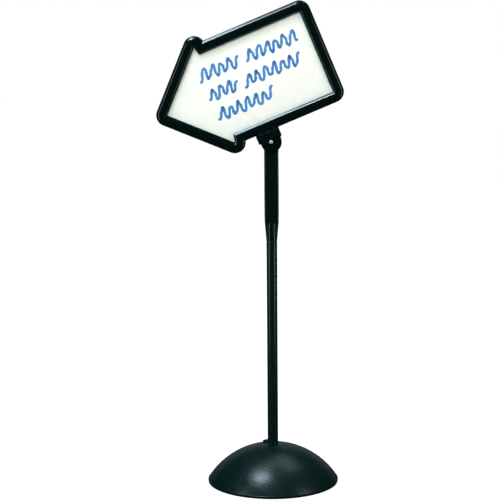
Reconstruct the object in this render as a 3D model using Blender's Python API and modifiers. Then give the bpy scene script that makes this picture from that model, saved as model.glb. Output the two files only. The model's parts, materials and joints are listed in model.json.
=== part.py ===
"""A floor-standing arrow sign: a weighted dome base, a steel pole, a swivelling pole head,
and a two-sided dry-erase board in an arrow-shaped frame that tilts on a yoke.

Units are metres and +Z is up. The origin is on the floor, on the pole's axis. The sign faces -Y,
and at rest its arrow points down to the left. The sign's parts are drawn in the sign's own frame,
whose origin is the tilt axis and whose +X runs along the arrow from its tip to its tail.
"""

import math

import bmesh
import bpy
from mathutils import Matrix, Vector

GAP = 0.0003  # left between pieces that rest on each other

# Base
RIM_RADIUS = 0.2286
DOME_HEIGHT = 0.134
DOME_WALL = 0.003
RIM_TOP = 0.009  # where the dome is widest
RIM_CLEARANCE = 0.0015  # the rim's height over the floor
RIM_ROUND = 0.004
WELL_WALL = 0.0025
PAN_BOTTOM = 0.011
PAN_THICKNESS = 0.003
PAN_RADIUS = 0.2138
BALLAST_TOP = 0.045
FOOT_RADIUS = 0.015
FOOT_CIRCLE = 0.190
FOOT_COUNT = 6
CENTRE_PAD_RADIUS = 0.022
CENTRE_PAD_POCKET = 0.0155
CENTRE_PAD_FLOOR = 0.0025
PAN_PILOT_TOP = 0.040
PAN_SCREW_CIRCLE = 0.150
PAN_SCREW_COUNT = 4
BOSS_RADIUS = 0.004
PLUG_PLACE = (-0.015, 0.045)
PLUG_FLANGE_RADIUS = 0.020
PLUG_HEIGHT = 0.0065
PLUG_STEM = 0.012
PLUG_DISH = 0.002
PLUG_STEM_RADIUS = 0.0125

# Pole
POLE_RADIUS = 0.0185
POLE_WALL = 0.0015
POLE_TOP = 0.8548
SOCKET_FLANGE_RADIUS = 0.050
SOCKET_FLANGE = 0.004
SOCKET_TOP = 0.110
TIE_WASHER = 0.0015
TIE_WASHER_RADIUS = 0.013
TIE_BOLT_RADIUS = 0.005

# Swivel between the pole and the pole head
BUSH_FLANGE = 0.002
BUSH_LENGTH = 0.060
SPINDLE_RADIUS = 0.0122
SPINDLE_TOP = 0.915
SPINDLE_BOTTOM = 0.789
SPINDLE_THREAD = 0.030
SPINDLE_WASHER = 0.002
SPINDLE_WASHER_RADIUS = 0.0155

# Pole head
PIVOT_HEIGHT = 1.2023
HEAD_HALF_WIDTH = 0.0245
HEAD_HALF_DEPTH = 0.0175
NECK_RADIUS = 0.0175
NECK_TOP = 0.924
NECK_HALF_WIDTH = 0.0238
HEAD_TAPER = 0.08  # the height over which the sides open from the neck to their full width
FLARE_HALF_DEPTH = 0.009
FLARE_LAP = 0.006
FLARE_SIDE = ((0.0190, 0), (0.0196, 0.009), (0.0208, 0.030), (0.0226, 0.051))  # half-width, height
SHOULDER_RADIUS = 0.0385
TONGUE_RADIUS = 0.0295
TONGUE_HALF = 0.0064
SPINDLE_PIN_HEIGHT = 0.894
SPINDLE_PIN_HALF = 0.0205
SPINDLE_PIN_RADIUS = 0.0025

# Tilt joint
SIGN_TILT = math.radians(22.65)
PIVOT_BOLT_RADIUS = 0.004
PIVOT_HEAD_RADIUS = 0.0066
PIVOT_HEAD_HEIGHT = 0.0045
PIVOT_HEAD_DOME = ((0.55, 0.93), (0.88, 0.6), (1.0, 0.2))  # shares of the radius and the height
PIVOT_WASHER = 0.0014
PIVOT_WASHER_RADIUS = 0.0085
PIVOT_NUT = 0.0060
PIVOT_NUT_RADIUS = 0.0075
PIVOT_THREAD_END = 0.0012
DISC_RADIUS = 0.0360
FRICTION_DISC_RADIUS = 0.025
FRICTION_DISC = 0.001
YOKE_HALF_WIDTH = 0.0417
YOKE_TAB_BOTTOM = 0.006
YOKE_HALF_DEPTH = 0.0162
YOKE_BRIDGE = 0.0075
COUNTERBORE_RADIUS = 0.0105
COUNTERBORE = 0.003

# Arrow board: the frame's opening, measured from the tilt axis
ARROW_AXIS = 0.2230
TIP = -0.2912
BARB_REACH = 0.176  # from the arrow's axis, and from the tip along it, so the tip is square
NOTCH = -0.1087
TAIL = 0.2601
SHAFT_HALF = 0.1473
RAIL = 0.0375
FRAME_HALF_DEPTH = 0.018
INNER_CHAMFER = 0.0072  # at 45 degrees, beside the board
OUTER_CHAMFER = 0.0086
RAIL_WALL = 0.0025
PANEL_LAP = 0.008  # how far the boards run under the frame
LIP_WALL = 0.0088
SHEET = 0.0008
CORE_HALF = 0.0023

FRAME_SCREWS_ABOVE = (-0.060, 0.180)
FRAME_SCREWS_BELOW = (-0.080, 0.180)
FRAME_SCREW_RECESS = 0.003
YOKE_SCREW_REACH = 0.036
BAR_HALF_LENGTH = 0.050
BAR_HALF_DEPTH = 0.006
BAR_THICKNESS = 0.005

# Screws: head radius, head height, shank radius and, where it is set, length
PAN_SCREW = (0.0045, 0.0030, 0.0020, 0.026)
TIE_BOLT = (0.0088, 0.0055, TIE_BOLT_RADIUS, 0.026)
SPINDLE_SCREW = (0.0065, 0.0050, 0.0040, 0.028)
YOKE_SCREW = (0.0050, 0.0032, 0.0025)

THROUGH = 0.06  # a cutter's reach past the middle of a thin piece
BLACK = (0.012, 0.016, 0.016)
BOSS_SIDES = 10
ROUND_SIDES = 28
DOME_SIDES = 40


def new_collection(name):
    collection = bpy.data.collections.new(name)
    bpy.context.scene.collection.children.link(collection)
    return collection


def material(name, colour, roughness, metallic=0.0):
    made = bpy.data.materials.new(name)
    made.use_nodes = True
    shader = made.node_tree.nodes["Principled BSDF"]
    shader.inputs["Base Color"].default_value = (*colour, 1)
    shader.inputs["Roughness"].default_value = roughness
    shader.inputs["Metallic"].default_value = metallic
    return made


def put(name, mesh, finish=None, parent=None, location=(0, 0, 0), rotation=(0, 0, 0)):
    """Links a mesh as an object of the sign, or as a cutter if it has no finish."""
    obj = bpy.data.objects.new(name, mesh)
    if finish is None:
        CUTTERS.objects.link(obj)
        obj.hide_render = True
        obj.display_type = "WIRE"
    else:
        PARTS.objects.link(obj)
        mesh.materials.append(finish)
    obj.parent = parent
    obj.location = location
    obj.rotation_euler = rotation
    return obj


def empty(name, location, rotation=(0, 0, 0), parent=None):
    obj = bpy.data.objects.new(name, None)
    PARTS.objects.link(obj)
    obj.parent = parent
    obj.location = location
    obj.rotation_euler = rotation
    return obj


def smooth(mesh, angle=math.radians(35)):
    mesh.shade_smooth()
    mesh.set_sharp_from_angle(angle=angle)


def arc(centre, radius, start, end, steps):
    """Points on a circle, from one angle to another in degrees, both ends included."""
    found = []
    for i in range(steps + 1):
        angle = math.radians(start + (end - start) * i / steps)
        found.append((centre[0] + radius * math.cos(angle), centre[1] + radius * math.sin(angle)))
    return found


def turned(name, profile, finish=None, sides=ROUND_SIDES, closed=True, **place):
    """A profile of (radius, height) turned about Z. It runs down its outer side."""
    mesh = bpy.data.meshes.new(name)
    count = len(profile)
    edges = [(i, (i + 1) % count) for i in range(count if closed else count - 1)]
    mesh.from_pydata([(r, 0, z) for r, z in profile], edges, [])
    obj = put(name, mesh, finish, **place)
    screw = obj.modifiers.new("turn", "SCREW")
    screw.steps = sides
    screw.render_steps = sides
    screw.use_merge_vertices = True
    screw.merge_threshold = 0.00001
    screw.use_smooth_shade = True
    return obj


def solid_disc(name, radius, low, high, finish=None, sides=ROUND_SIDES, **place):
    """A plain cylinder along Z between two heights."""
    shape = bmesh.new()
    bmesh.ops.create_cone(
        shape, cap_ends=True, segments=sides, radius1=radius, radius2=radius, depth=high - low
    )
    bmesh.ops.translate(shape, verts=shape.verts, vec=(0, 0, (low + high) / 2))
    mesh = bpy.data.meshes.new(name)
    shape.to_mesh(mesh)
    shape.free()
    smooth(mesh)
    return put(name, mesh, finish, **place)


def ring(name, outer, inner, low, high, finish, sides=ROUND_SIDES, **place):
    profile = [(outer, high), (outer, low), (inner, low), (inner, high)]
    return turned(name, profile, finish, sides, **place)


def block(name, low, high, finish=None, **place):
    """A box between two corners."""
    shape = bmesh.new()
    bmesh.ops.create_cube(shape, size=1)
    low, high = Vector(low), Vector(high)
    bmesh.ops.scale(shape, verts=shape.verts, vec=high - low)
    bmesh.ops.translate(shape, verts=shape.verts, vec=(low + high) / 2)
    mesh = bpy.data.meshes.new(name)
    shape.to_mesh(mesh)
    shape.free()
    return put(name, mesh, finish, **place)


def plate(name, outline, near, far, finish=None, **place):
    """A flat outline of (x, z) points, from depth near to depth far along Y."""
    shape = bmesh.new()
    front = [shape.verts.new((x, near, z)) for x, z in outline]
    back = [shape.verts.new((x, far, z)) for x, z in outline]
    shape.faces.new(front)
    shape.faces.new(back[::-1])
    for i in range(len(outline)):
        j = (i + 1) % len(outline)
        shape.faces.new((front[i], back[i], back[j], front[j]))
    bmesh.ops.recalc_face_normals(shape, faces=shape.faces)
    mesh = bpy.data.meshes.new(name)
    shape.to_mesh(mesh)
    shape.free()
    smooth(mesh)
    return put(name, mesh, finish, **place)


def combine(obj, other, operation="DIFFERENCE"):
    """A Boolean with another object, by default a cut."""
    modifier = obj.modifiers.new(other.name, "BOOLEAN")
    modifier.operation = operation
    modifier.object = other
    return obj


def round_edges(obj, width, segments=2, angle=math.radians(50)):
    modifier = obj.modifiers.new("round", "BEVEL")
    modifier.width = width
    modifier.segments = segments
    modifier.limit_method = "ANGLE"
    modifier.angle_limit = angle
    return obj


def circle_places(count, radius, start=0.0):
    """Places evenly spaced on a circle round the pole's axis."""
    angles = [start + math.tau * i / count for i in range(count)]
    return [(radius * math.cos(a), radius * math.sin(a), 0) for a in angles]


def screw_profile(head_radius, head, shank_radius, length):
    """A screw that hangs from its shank: the head is below zero and the shank above it."""
    return [
        (0, length),
        (shank_radius, length - shank_radius * 0.5),
        (shank_radius, 0),
        (head_radius, 0),
        (head_radius, -head * 0.55),
        (head_radius * 0.6, -head),
        (0, -head),
    ]


# ---------------------------------------------------------------- base

DOME_RISE = DOME_HEIGHT - RIM_TOP
DOME_BALL = (RIM_RADIUS**2 + DOME_RISE**2) / (2 * DOME_RISE)
DOME_CENTRE = DOME_HEIGHT - DOME_BALL


def dome_radius(height, inset=0.0):
    """The dome's radius at a height, inset from its outer surface."""
    return math.sqrt((DOME_BALL - inset) ** 2 - (height - DOME_CENTRE) ** 2)


def dome_surface(radius, inset=0.0):
    """The dome's height at a radius, inset from its outer surface."""
    return DOME_CENTRE + math.sqrt((DOME_BALL - inset) ** 2 - radius**2)


def dome_profile():
    """The shell's section: outer skin, rolled rim, inner skin and the well that the pole stands in."""
    well = POLE_RADIUS + GAP
    steps = 7
    outer_edge = RIM_RADIUS
    outer = []
    for i in range(steps + 1):
        radius = well + (outer_edge - well) * math.sin(math.pi / 2 * i / steps)
        outer.append((radius, dome_surface(radius)))
    low = RIM_CLEARANCE
    rim = [(outer_edge, low + RIM_ROUND * 0.5), (outer_edge - RIM_ROUND * 0.4, low)]
    rim.append((outer_edge - DOME_WALL - RIM_ROUND * 0.3, low))
    inner_edge = dome_radius(PAN_BOTTOM, DOME_WALL)
    inner_start = well + WELL_WALL
    inner = []
    for i in range(steps + 1):
        radius = inner_edge + (inner_start - inner_edge) * (1 - math.cos(math.pi / 2 * i / steps))
        inner.append((radius, dome_surface(radius, DOME_WALL)))
    well_bottom = PAN_BOTTOM + PAN_THICKNESS + SOCKET_FLANGE + 3 * GAP
    return outer + rim + inner + [(inner_start, well_bottom), (well, well_bottom)]


def plug_matrix():
    """The fill plug's frame: on the dome's skin, with +Z straight out of it."""
    x, y = PLUG_PLACE
    centre = Vector((x, y, dome_surface(math.hypot(x, y))))
    normal = (centre - Vector((0, 0, DOME_CENTRE))).normalized()
    return Matrix.Translation(centre) @ normal.to_track_quat("Z", "Y").to_matrix().to_4x4()


def build_base():
    plastic = material("textured_plastic", BLACK, 0.5)
    rubber = material("rubber", (0.01, 0.01, 0.01), 0.85)
    steel = material("zinc_steel", (0.6, 0.62, 0.63), 0.3, 1.0)
    painted = material("painted_steel", BLACK, 0.4, 0.3)
    sand = material("sand_ballast", (0.42, 0.36, 0.27), 0.95)

    dome = turned("base_dome", dome_profile(), plastic, DOME_SIDES)
    screw_places = circle_places(PAN_SCREW_COUNT, PAN_SCREW_CIRCLE, math.pi / PAN_SCREW_COUNT)
    pan_top = PAN_BOTTOM + PAN_THICKNESS
    pan = ring("base_pan", PAN_RADIUS, TIE_BOLT_RADIUS + GAP, PAN_BOTTOM, pan_top, plastic, DOME_SIDES)
    ballast = build_ballast(sand)
    boss_top = dome_surface(PAN_SCREW_CIRCLE, DOME_WALL)
    for i, place in enumerate(screw_places, 1):
        boss = solid_disc(f"boss_{i}", BOSS_RADIUS, pan_top + GAP, boss_top, sides=BOSS_SIDES, location=place)
        combine(dome, boss, "UNION")
        boss_room = solid_disc(f"boss_room_{i}", BOSS_RADIUS + 2 * GAP, 0, 0.1, sides=BOSS_SIDES, location=place)
        combine(ballast, boss_room)
        pilot = solid_disc(f"pilot_{i}", PAN_SCREW[2] + GAP, 0, PAN_PILOT_TOP, sides=BOSS_SIDES, location=place)
        combine(dome, pilot)
        combine(pan, pilot)
        under_pan = (place[0], place[1], PAN_BOTTOM - GAP)
        screw = screw_profile(*PAN_SCREW)
        turned(f"pan_screw_{i}", screw, steel, BOSS_SIDES, closed=False, location=under_pan)

    for i, place in enumerate(circle_places(FOOT_COUNT, FOOT_CIRCLE), 1):
        foot = [
            (0, PAN_BOTTOM - GAP),
            (FOOT_RADIUS, PAN_BOTTOM - GAP),
            (FOOT_RADIUS * 0.9, 0),
            (0, 0),
        ]
        turned(f"rubber_foot_{i}", foot, rubber, 20, closed=False, location=place)

    build_centre_pad(rubber)
    build_plug(dome, rubber)
    build_socket(painted, steel)


def build_centre_pad(rubber):
    """A cup that covers the tie bolt's head and stands on the floor."""
    top = PAN_BOTTOM - GAP
    cup = [
        (0, CENTRE_PAD_FLOOR),
        (CENTRE_PAD_POCKET, CENTRE_PAD_FLOOR),
        (CENTRE_PAD_POCKET, top),
        (CENTRE_PAD_RADIUS, top),
        (CENTRE_PAD_RADIUS, 0),
        (0, 0),
    ]
    turned("centre_pad", cup, rubber, 24, closed=False)


def build_ballast(sand):
    """The poured fill, level on top, round the well and clear of the socket's flange."""
    low = PAN_BOTTOM + PAN_THICKNESS + GAP
    skin = DOME_WALL + 3 * GAP
    steps = 3
    outer = []
    for i in range(steps + 1):
        height = BALLAST_TOP + (low - BALLAST_TOP) * i / steps
        outer.append((dome_radius(height, skin), height))
    well = POLE_RADIUS + WELL_WALL + 3 * GAP
    step = low + SOCKET_FLANGE + 4 * GAP
    flange = SOCKET_FLANGE_RADIUS + 2 * GAP
    inner = [(flange, low), (flange, step), (well, step), (well, BALLAST_TOP)]
    return turned("sand_ballast", outer + inner, sand, DOME_SIDES)


def build_plug(dome, rubber):
    """The fill plug pulls straight out of the dome, behind the pole."""
    seat = plug_matrix()
    rotation = seat.to_euler()
    place = dict(location=seat.translation, rotation=rotation)
    hole = solid_disc("fill_hole", PLUG_STEM_RADIUS + GAP, -0.02, 0.02, sides=24, **place)
    combine(dome, hole)
    top = PLUG_HEIGHT
    stem = -PLUG_STEM
    profile = [
        (0, top - PLUG_DISH),
        (0.010, top - PLUG_DISH),
        (0.012, top),
        (PLUG_FLANGE_RADIUS - PLUG_DISH, top),
        (PLUG_FLANGE_RADIUS, top - PLUG_DISH),
        (PLUG_FLANGE_RADIUS, GAP),
        (PLUG_STEM_RADIUS, GAP),
        (PLUG_STEM_RADIUS * 0.92, stem),
        (0, stem),
    ]
    turned("fill_plug", profile, rubber, 24, closed=False, **place)


def build_socket(painted, steel):
    """The stub that the pole slides over, its tie bolt and washer."""
    low = PAN_BOTTOM + PAN_THICKNESS + GAP
    flange_top = low + SOCKET_FLANGE
    stub = POLE_RADIUS - POLE_WALL - GAP
    thread = TIE_BOLT_RADIUS + GAP
    thread_top = 0.040
    bore = 0.011
    profile = [
        (stub, SOCKET_TOP),
        (stub, flange_top),
        (SOCKET_FLANGE_RADIUS, flange_top),
        (SOCKET_FLANGE_RADIUS, low),
        (thread, low),
        (thread, thread_top),
        (bore, thread_top),
        (bore, SOCKET_TOP),
    ]
    turned("pole_socket", profile, painted)
    washer_top = PAN_BOTTOM - GAP
    washer_low = washer_top - TIE_WASHER
    ring("tie_washer", TIE_WASHER_RADIUS, thread, washer_low, washer_top, steel, 24)
    bolt = screw_profile(*TIE_BOLT)
    turned("tie_bolt", bolt, steel, 24, closed=False, location=(0, 0, washer_low - GAP))
    pole_low = flange_top + GAP
    ring("pole_tube", POLE_RADIUS, POLE_RADIUS - POLE_WALL, pole_low, POLE_TOP, painted)


# ---------------------------------------------------------------- swivel and pole head


def build_swivel(swivel):
    nylon = material("nylon", (0.06, 0.065, 0.065), 0.5)
    steel = material("spindle_steel", (0.55, 0.56, 0.57), 0.35, 1.0)
    bore = POLE_RADIUS - POLE_WALL - GAP
    inner = SPINDLE_RADIUS + GAP
    seat = POLE_TOP + GAP
    flange_top = seat + BUSH_FLANGE
    bush = [
        (POLE_RADIUS, flange_top),
        (POLE_RADIUS, seat),
        (bore, seat),
        (bore, POLE_TOP - BUSH_LENGTH),
        (inner, POLE_TOP - BUSH_LENGTH),
        (inner, flange_top),
    ]
    turned("swivel_bush", bush, nylon)
    thread = SPINDLE_SCREW[2] + GAP
    thread_top = SPINDLE_BOTTOM + SPINDLE_THREAD
    spindle = [
        (0, SPINDLE_TOP),
        (SPINDLE_RADIUS, SPINDLE_TOP),
        (SPINDLE_RADIUS, SPINDLE_BOTTOM),
        (thread, SPINDLE_BOTTOM),
        (thread, thread_top),
        (0, thread_top),
    ]
    at = dict(parent=swivel, location=(0, 0, -POLE_TOP))
    post = turned("swivel_spindle", spindle, steel, closed=False, **at)
    washer_top = SPINDLE_BOTTOM - GAP
    washer_low = washer_top - SPINDLE_WASHER
    ring("spindle_washer", SPINDLE_WASHER_RADIUS, thread, washer_low, washer_top, steel, **at)
    screw = screw_profile(*SPINDLE_SCREW)
    below = (0, 0, washer_low - GAP - POLE_TOP)
    turned("spindle_screw", screw, steel, 20, closed=False, parent=swivel, location=below)
    return post


def build_pole_head(swivel, post):
    """Round where it meets the pole, flat-sided above, ending in a tongue with round shoulders."""
    plastic = material("moulded_plastic", BLACK, 0.35)
    low = POLE_TOP + GAP + BUSH_FLANGE + GAP - PIVOT_HEIGHT
    neck_top = NECK_TOP - PIVOT_HEIGHT
    at_pivot = dict(parent=swivel, location=(0, 0, PIVOT_HEIGHT - POLE_TOP))

    side = HEAD_HALF_WIDTH
    tongue_start = math.degrees(math.acos(side / TONGUE_RADIUS))
    body = [(-NECK_HALF_WIDTH, neck_top), (NECK_HALF_WIDTH, neck_top), (side, neck_top + HEAD_TAPER)]
    body += arc((0, 0), TONGUE_RADIUS, tongue_start, 180 - tongue_start, 14)
    body.append((-side, neck_top + HEAD_TAPER))
    head = plate("pole_head", body, -HEAD_HALF_DEPTH, HEAD_HALF_DEPTH, plastic, **at_pivot)
    round_edges(head, 0.005)

    neck = solid_disc("neck", NECK_RADIUS, low, neck_top + FLARE_LAP, sides=ROUND_SIDES, **at_pivot)
    right = [(half, low + up) for half, up in FLARE_SIDE]
    right += [(NECK_HALF_WIDTH, neck_top), (NECK_HALF_WIDTH, neck_top + FLARE_LAP)]
    outline = right + [(-x, z) for x, z in reversed(right)]
    flare = plate("flare", outline, -FLARE_HALF_DEPTH, FLARE_HALF_DEPTH, **at_pivot)
    round_edges(flare, 0.006)
    combine(head, neck, "UNION")
    combine(head, flare, "UNION")

    for name, near, far in (("front", -THROUGH, -TONGUE_HALF), ("rear", TONGUE_HALF, THROUGH)):
        room = plate(
            f"shoulder_{name}", arc((0, 0), SHOULDER_RADIUS, 0, 352.5, 47), near, far, **at_pivot
        )
        combine(head, room)
    lying = (math.pi / 2, 0, 0)
    bolt_hole = solid_disc("tongue_hole", PIVOT_BOLT_RADIUS + GAP, -THROUGH, THROUGH, sides=20,
                           rotation=lying, **at_pivot)
    combine(head, bolt_hole)
    spindle_bore = solid_disc("spindle_bore", SPINDLE_RADIUS + GAP, low - 0.01,
                              SPINDLE_TOP + GAP - PIVOT_HEIGHT, **at_pivot)
    combine(head, spindle_bore)

    pin_place = (0, 0, SPINDLE_PIN_HEIGHT - POLE_TOP)
    across = dict(parent=swivel, location=pin_place, rotation=(0, math.pi / 2, 0))
    pin_hole = solid_disc("pin_hole", SPINDLE_PIN_RADIUS + GAP, -THROUGH, THROUGH, sides=16, **across)
    combine(head, pin_hole)
    combine(post, pin_hole)
    zinc = material("pin_steel", (0.35, 0.36, 0.37), 0.4, 1.0)
    solid_disc("spindle_pin", SPINDLE_PIN_RADIUS, -SPINDLE_PIN_HALF, SPINDLE_PIN_HALF, zinc, 16, **across)


# ---------------------------------------------------------------- tilt joint


def build_yoke(tilt, rail_bottom):
    """Two round ears under a tab, which straddle the pole head's tongue and carry the frame."""
    plastic = material("yoke_plastic", BLACK, 0.3)
    nylon = material("friction_nylon", (0.5, 0.5, 0.48), 0.6)
    steel = material("bright_zinc", (0.75, 0.78, 0.8), 0.22, 1.0)
    top = rail_bottom - GAP
    corner = 0.003
    start = math.degrees(math.asin(YOKE_TAB_BOTTOM / DISC_RADIUS))
    right_corner = arc((YOKE_HALF_WIDTH - corner, YOKE_TAB_BOTTOM + corner), corner, -90, 0, 3)
    left_corner = [(-x, z) for x, z in reversed(right_corner)]
    outline = [(YOKE_HALF_WIDTH, top), (-YOKE_HALF_WIDTH, top)] + left_corner
    outline += arc((0, 0), DISC_RADIUS, 180 - start, 360 + start, 28) + right_corner
    yoke = plate("tilt_yoke", outline, -YOKE_HALF_DEPTH, YOKE_HALF_DEPTH, plastic, parent=tilt)
    slot_half = TONGUE_HALF + FRICTION_DISC + 2 * GAP
    slot_top = top - YOKE_BRIDGE
    slot = block("yoke_slot", (-THROUGH, -slot_half, -THROUGH), (THROUGH, slot_half, slot_top), parent=tilt)
    combine(yoke, slot)

    lying = dict(parent=tilt, rotation=(math.pi / 2, 0, 0))
    hole = PIVOT_BOLT_RADIUS + GAP
    combine(yoke, solid_disc("yoke_hole", hole, -THROUGH, THROUGH, sides=20, **lying))
    seat = YOKE_HALF_DEPTH - COUNTERBORE
    for name, low, high in (("front", seat, THROUGH), ("rear", -THROUGH, -seat)):
        bore = solid_disc(f"counterbore_{name}", COUNTERBORE_RADIUS, low, high, sides=28, **lying)
        combine(yoke, bore)

    disc_in = TONGUE_HALF + GAP
    disc_out = disc_in + FRICTION_DISC
    ring("friction_disc_front", FRICTION_DISC_RADIUS, hole, disc_in, disc_out, nylon, **lying)
    ring("friction_disc_rear", FRICTION_DISC_RADIUS, hole, -disc_out, -disc_in, nylon, **lying)

    head_seat = seat + GAP
    nut_top = -(head_seat + PIVOT_WASHER + GAP)
    tail = nut_top - PIVOT_NUT - PIVOT_THREAD_END
    bolt = [(0, head_seat + PIVOT_HEAD_HEIGHT)]
    for out, up in PIVOT_HEAD_DOME:
        bolt.append((PIVOT_HEAD_RADIUS * out, head_seat + PIVOT_HEAD_HEIGHT * up))
    bolt += [
        (PIVOT_HEAD_RADIUS, head_seat),
        (PIVOT_BOLT_RADIUS, head_seat),
        (PIVOT_BOLT_RADIUS, tail),
        (0, tail),
    ]
    turned("pivot_bolt", bolt, steel, 24, closed=False, **lying)
    ring("pivot_washer", PIVOT_WASHER_RADIUS, hole, nut_top + GAP, -head_seat, steel, 24, **lying)
    hexagon = solid_disc("pivot_nut", PIVOT_NUT_RADIUS, nut_top - PIVOT_NUT, nut_top, steel, 6, **lying)
    combine(hexagon, solid_disc("nut_hole", hole, -THROUGH, 0, sides=24, **lying))
    return slot_top


# ---------------------------------------------------------------- arrow board


def rail_stations():
    """(corner of the opening, vector across the rail) all the way round, for the arrow's lower
    half and then, mirrored, for its upper half. A convex corner turns its vector round itself, so
    the frame's outside is round there and its inside is sharp."""
    tip = Vector((TIP, 0))
    barb = Vector((TIP + BARB_REACH, -BARB_REACH))
    notch = Vector((NOTCH, -SHAFT_HALF))
    heel = Vector((TAIL, -SHAFT_HALF))
    shaft_edge = -SHAFT_HALF - RAIL
    across = math.sqrt(RAIL**2 - (barb.y - shaft_edge) ** 2)
    outer_notch = Vector((barb.x + across, shaft_edge))

    def turn(corner, start, end, steps):
        return [(corner, Vector(way)) for way in arc((0, 0), RAIL, start, end, steps)]

    notch_angle = math.degrees(math.atan2(shaft_edge - barb.y, across))
    lower = turn(tip, 180, 225, 2)
    lower += turn(barb, 225, 360 + notch_angle, 6)
    lower.append((notch, outer_notch - notch))
    lower += turn(heel, 270, 360, 4)
    upper = [(Vector((p.x, -p.y)), Vector((v.x, -v.y))) for p, v in reversed(lower[1:])]
    return lower + upper


def arrow_outline(out):
    """The opening's outline, moved out by a distance, as (x, z) points from the tilt axis."""
    found = []
    for corner, vector in rail_stations():
        x, z = corner + vector * (out / RAIL)
        if not found or math.dist(found[-1], (x, z + ARROW_AXIS)) > 0.0002:
            found.append((x, z + ARROW_AXIS))
    return found


def rail_profile():
    """The half frame's section as (distance out from the opening, depth from the middle plane).
    It is a channel, open at the middle plane, with a lip that laps the board."""
    face = FRAME_HALF_DEPTH
    outer_side = face - OUTER_CHAMFER
    outside = [(RAIL, outer_side), (RAIL - OUTER_CHAMFER, face)]
    inside = [(INNER_CHAMFER, face), (0, face - INNER_CHAMFER)]
    middle = GAP / 2
    lip = SHEET + CORE_HALF + 2 * GAP
    roof = FRAME_HALF_DEPTH - RAIL_WALL
    outer_wall = RAIL - RAIL_WALL
    section = [(RAIL, middle)] + outside + inside
    section += [(0, lip), (LIP_WALL, lip), (LIP_WALL, middle), (LIP_WALL + RAIL_WALL, middle)]
    section += [(LIP_WALL + RAIL_WALL, roof), (outer_wall - OUTER_CHAMFER, roof)]
    section += [(outer_wall, outer_side - RAIL_WALL * 0.4), (outer_wall, middle)]
    return section


def frame_half(name, side, finish, tilt):
    """Sweeps the rail's section round the arrow. Side is -1 for the front half, 1 for the rear."""
    shape = bmesh.new()
    section = rail_profile()
    rings = []
    for corner, vector in rail_stations():
        row = []
        for out, depth in section:
            x, z = corner + vector * (out / RAIL)
            row.append(shape.verts.new((x, side * depth, z + ARROW_AXIS)))
        rings.append(row)
    count = len(section)
    for i, row in enumerate(rings):
        following = rings[(i + 1) % len(rings)]
        for j in range(count):
            k = (j + 1) % count
            shape.faces.new((row[j], row[k], following[k], following[j]))
    bmesh.ops.remove_doubles(shape, verts=shape.verts, dist=0.00001)
    bmesh.ops.recalc_face_normals(shape, faces=shape.faces)
    mesh = bpy.data.meshes.new(name)
    shape.to_mesh(mesh)
    shape.free()
    smooth(mesh)
    return put(name, mesh, finish, parent=tilt)


def frame_screw_places():
    """Rail centres where a screw joins the two frame halves, as (x, z) from the tilt axis."""
    middle = RAIL * 0.6
    shaft = SHAFT_HALF + middle
    head_x = TIP + BARB_REACH * 0.5 - middle / math.sqrt(2)
    head_z = BARB_REACH * 0.5 + middle / math.sqrt(2)
    flat = [(x, shaft) for x in FRAME_SCREWS_ABOVE] + [(x, -shaft) for x in FRAME_SCREWS_BELOW]
    flat += [(TAIL + middle, 0), (head_x, head_z), (head_x, -head_z)]
    return [(x, z + ARROW_AXIS) for x, z in flat]


def build_board(tilt, slot_top):
    glossy = material("frame_plastic", BLACK, 0.18)
    enamel = material("white_enamel", (0.9, 0.92, 0.9), 0.12)
    core = material("board_core", (0.55, 0.5, 0.42), 0.9)
    steel = material("screw_steel", (0.3, 0.31, 0.32), 0.35, 1.0)
    outline = arrow_outline(PANEL_LAP)
    sheet_in = CORE_HALF + GAP
    sheet_out = sheet_in + SHEET
    plate("board_front_sheet", outline, -sheet_out, -sheet_in, enamel, parent=tilt)
    plate("board_core", outline, -CORE_HALF, CORE_HALF, core, parent=tilt)
    plate("board_rear_sheet", outline, sheet_in, sheet_out, enamel, parent=tilt)
    front = frame_half("frame_front", -1, glossy, tilt)
    rear = frame_half("frame_rear", 1, glossy, tilt)

    face = FRAME_HALF_DEPTH
    roof = face - RAIL_WALL * 0.5
    recess = face - FRAME_SCREW_RECESS
    for i, (x, z) in enumerate(frame_screw_places(), 1):
        at = dict(parent=tilt, location=(x, 0, z), rotation=(-math.pi / 2, 0, 0))
        sides = BOSS_SIDES
        combine(front, solid_disc(f"front_boss_{i}", 0.0045, -roof, -GAP, sides=sides, **at), "UNION")
        combine(rear, solid_disc(f"rear_boss_{i}", 0.0058, GAP, roof, sides=sides, **at), "UNION")
        combine(front, solid_disc(f"front_pilot_{i}", 0.0019, -0.012, 0.001, sides=sides, **at))
        combine(rear, solid_disc(f"rear_clearance_{i}", 0.0021, -0.001, 0.02, sides=sides, **at))
        combine(rear, solid_disc(f"rear_recess_{i}", 0.0042, recess, 0.03, sides=16, **at))
        screw = [
            (0, recess + 0.0024),
            (0.0025, recess + 0.0022),
            (0.0038, recess + 0.0012),
            (0.0038, recess + GAP),
            (0.0015, recess + GAP),
            (0.0015, -0.009),
            (0, -0.0105),
        ]
        turned(f"frame_screw_{i}", screw, steel, BOSS_SIDES, closed=False, **at)
    build_mount_bar(tilt, front, rear, slot_top, steel)


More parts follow.
